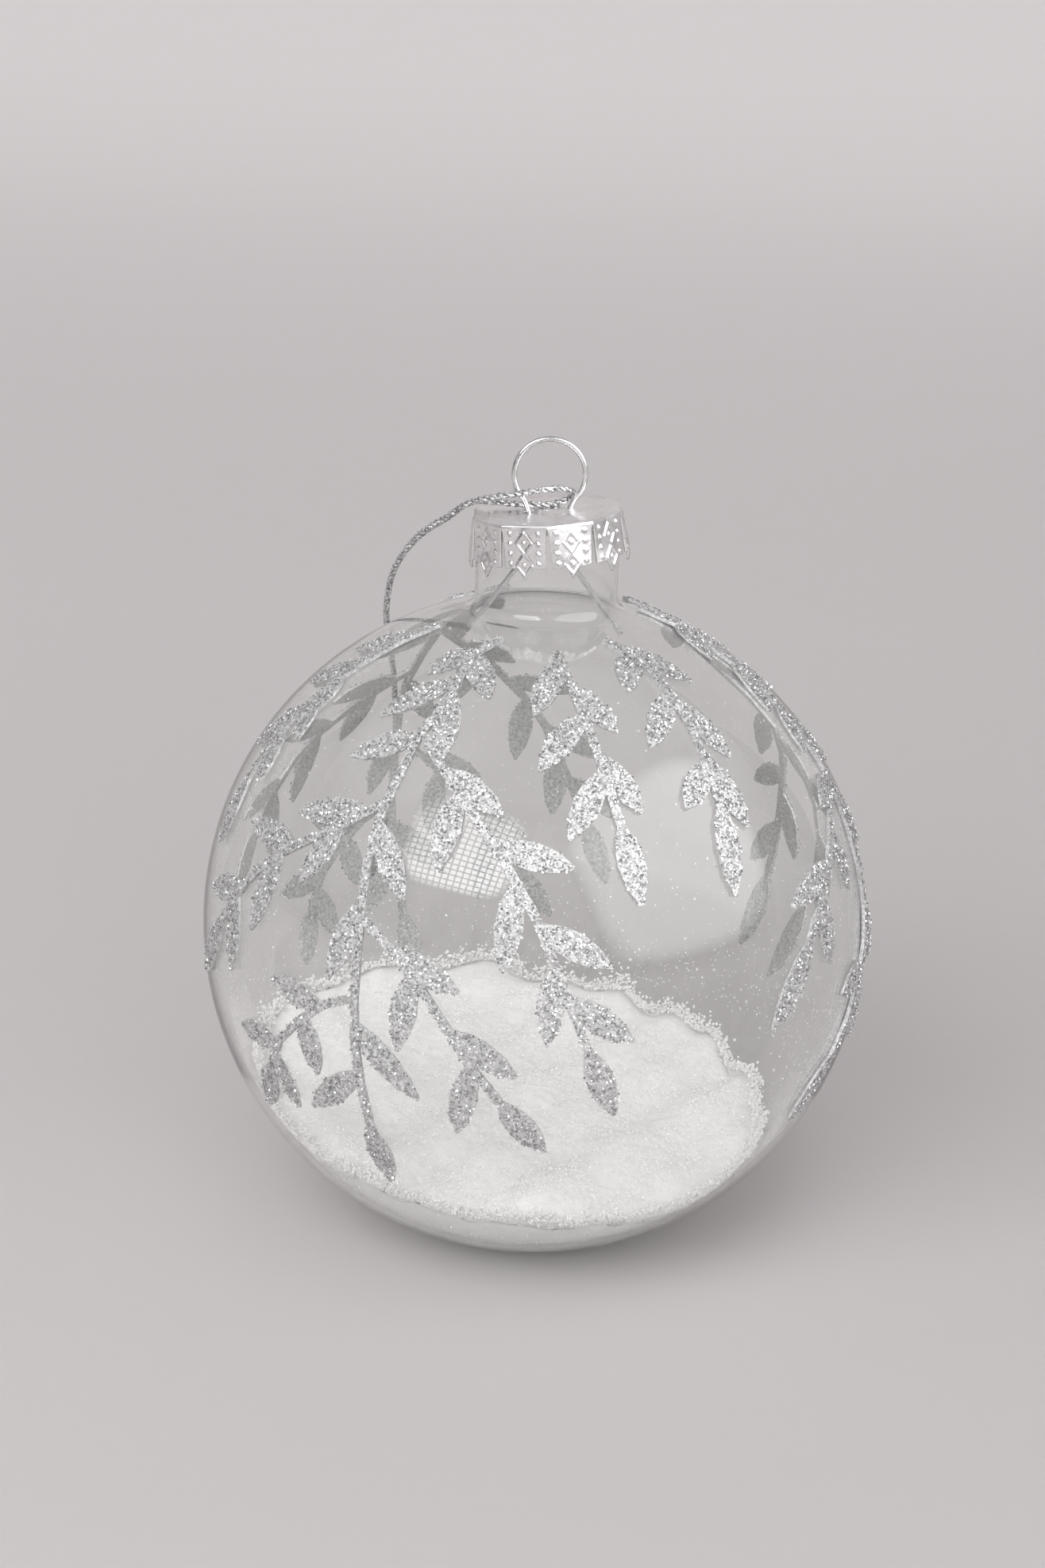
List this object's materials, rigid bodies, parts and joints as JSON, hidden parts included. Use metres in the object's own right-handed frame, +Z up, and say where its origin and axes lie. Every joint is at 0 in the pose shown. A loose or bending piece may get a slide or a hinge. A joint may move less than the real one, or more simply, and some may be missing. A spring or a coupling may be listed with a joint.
{
  "type": "glass ball ornament",
  "caption": "Clear glass ball with leafy glitter sprays, part filled with artificial snow, with a metal cap, wire ring and cord loop.",
  "frame": {"origin": "centre of the flattened underside of the ball, on the surface it stands on", "axes": "+Z up along the neck to the hanging ring; -Y faces the front of the glitter pattern; +X to the right seen from the front"},
  "size_m": [0.0801, 0.0808, 0.0989],
  "materials": {
    "clear_glass": "clear, thin blown, slightly green where it is thick",
    "snow_flakes": "loose white flakes",
    "silver_glitter": "coarse silver glitter",
    "cap_metal": "bright pressed silver metal",
    "wire_metal": "bright spring wire",
    "silver_thread": "twisted metallic thread"
  },
  "bodies": {
    "glass": {"glass_ball": "clear_glass", "snow_fill": "snow_flakes", "glitter_spray_front_left": "silver_glitter", "glitter_spray_back": "silver_glitter", "glitter_spray_front": "silver_glitter", "glitter_spray_front_right": "silver_glitter", "glitter_spray_right": "silver_glitter", "glitter_spray_left": "silver_glitter", "glitter_spray_back_right": "silver_glitter"},
    "cap": {"cap": "cap_metal"},
    "hanger": {"hanger_ring": "wire_metal"},
    "leg_left": {"hanger_leg_left": "wire_metal"},
    "leg_right": {"hanger_leg_right": "wire_metal"},
    "cord": {"cord": "silver_thread", "cord_knot": "silver_thread"}
  },
  "joints": [
    {"name": "cap_lift", "type": "slide", "parent": "glass", "child": "cap", "axis": [0, 0, 1], "range_m": [0, 0.018]},
    {"name": "hanger_tilt", "type": "hinge", "parent": "cap", "child": "hanger", "pos_m": [0, 0, 0.08975], "axis": [1, 0, 0], "range_deg": [-5, 5]},
    {"name": "leg_left_fold", "type": "hinge", "parent": "hanger", "child": "leg_left", "pos_m": [0.0007, 0.00047, 0.0886], "axis": [0, -1, 0], "range_deg": [0, 29]},
    {"name": "leg_right_fold", "type": "hinge", "parent": "hanger", "child": "leg_right", "pos_m": [-0.0007, -0.00047, 0.0886], "axis": [0, 1, 0], "range_deg": [0, 29]},
    {"name": "cord_hang", "type": "hinge", "parent": "hanger", "child": "cord", "pos_m": [0, 0, 0.0914], "axis": [1, 0, 0], "range_deg": [-5, 5]}
  ],
  "couplings": [
    {"joint": "leg_left_fold", "follows": "cap_lift", "rad_per_m": 27.9},
    {"joint": "leg_right_fold", "follows": "cap_lift", "rad_per_m": 27.9},
    {"joint": "cord_hang", "follows": "hanger_tilt", "ratio": -1}
  ]
}
